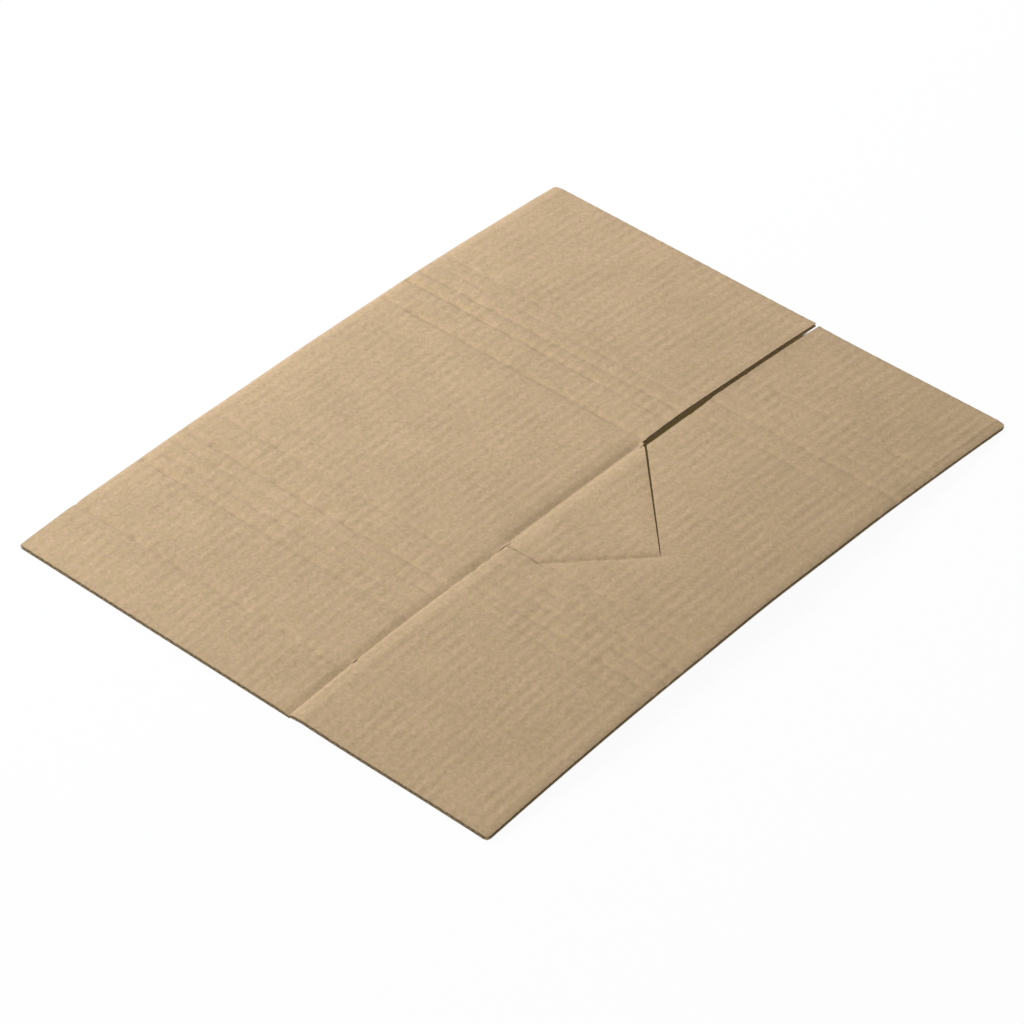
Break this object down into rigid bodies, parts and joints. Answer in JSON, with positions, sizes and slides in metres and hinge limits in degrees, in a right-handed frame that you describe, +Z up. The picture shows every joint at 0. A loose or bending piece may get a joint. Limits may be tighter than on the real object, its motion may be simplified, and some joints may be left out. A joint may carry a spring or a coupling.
{
  "type": "flattened cardboard cross-wrap mailer",
  "caption": "Flat die-cut sheet of brown corrugated board that folds into a cross-wrap mailer, with rows of height scores, a parting slot and a hinged tab.",
  "frame": {"origin": "on the table under the middle of the sheet's outline", "axes": "+X along the flutes and the long side, +Y across the flutes from the narrow cross strip to the wide wrap strip, +Z up out of the table"},
  "size_m": [0.4, 0.31, 0.0093],
  "materials": {
    "kraft_board": "uncoated brown kraft paper, matt, with faint flute lines"
  },
  "bodies": {
    "root": {"carton_blank": "kraft_board"}
  },
  "joints": []
}
